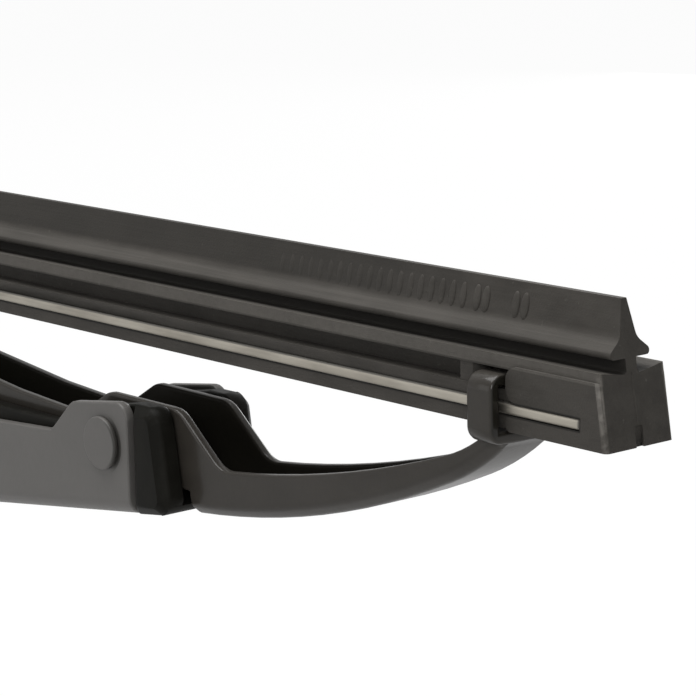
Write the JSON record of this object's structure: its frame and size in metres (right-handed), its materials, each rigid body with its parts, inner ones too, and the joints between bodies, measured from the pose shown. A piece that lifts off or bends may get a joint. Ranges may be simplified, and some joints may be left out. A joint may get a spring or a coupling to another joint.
{
  "type": "wiper blade",
  "caption": "Framed windscreen wiper blade: folded steel bridge and pivoting yokes whose claws hold a rubber wiping strip stiffened by flat steel rails, with a clip for a hook arm.",
  "frame": {"origin": "middle of the tube that takes the wiper arm's pin", "axes": "+X along the blade towards the end in the picture, +Y across it along the pin, +Z towards the wiping lip"},
  "size_m": [0.33, 0.0124, 0.0342],
  "materials": {
    "painted_steel": "satin black paint",
    "liner_plastic": "smooth black moulding",
    "rubber": "matt warm dark grey",
    "stainless": "satin rolled strip",
    "plated_steel": "zinc plated",
    "adapter_plastic": "black moulding"
  },
  "bodies": {
    "frame": {"main_bridge": "painted_steel", "pivot_liner_right": "liner_plastic", "pivot_liner_left": "liner_plastic", "pivot_rivet_right": "painted_steel", "pivot_rivet_left": "painted_steel", "pivot_tube": "plated_steel", "wiper_rubber": "rubber", "rail_near": "stainless", "rail_far": "stainless"},
    "yoke_right": {"yoke_right": "painted_steel"},
    "yoke_left": {"yoke_left": "painted_steel"},
    "adapter": {"arm_adapter": "adapter_plastic"}
  },
  "joints": [
    {"name": "yoke_right_pivot", "type": "hinge", "parent": "frame", "child": "yoke_right", "pos_m": [0.1045, 0, 0.0077], "axis": [0, 1, 0], "range_deg": [-6, 6], "stiffness_Nm_per_rad": 1, "deforming": ["wiper_rubber", "rail_near", "rail_far"]},
    {"name": "yoke_left_pivot", "type": "hinge", "parent": "frame", "child": "yoke_left", "pos_m": [-0.1045, 0, 0.0077], "axis": [0, 1, 0], "range_deg": [-6, 6], "stiffness_Nm_per_rad": 1, "deforming": ["wiper_rubber", "rail_near", "rail_far"]},
    {"name": "adapter_pivot", "type": "hinge", "parent": "frame", "child": "adapter", "pos_m": [0, 0, 0], "axis": [0, 1, 0], "range_deg": [-15, 15]}
  ]
}
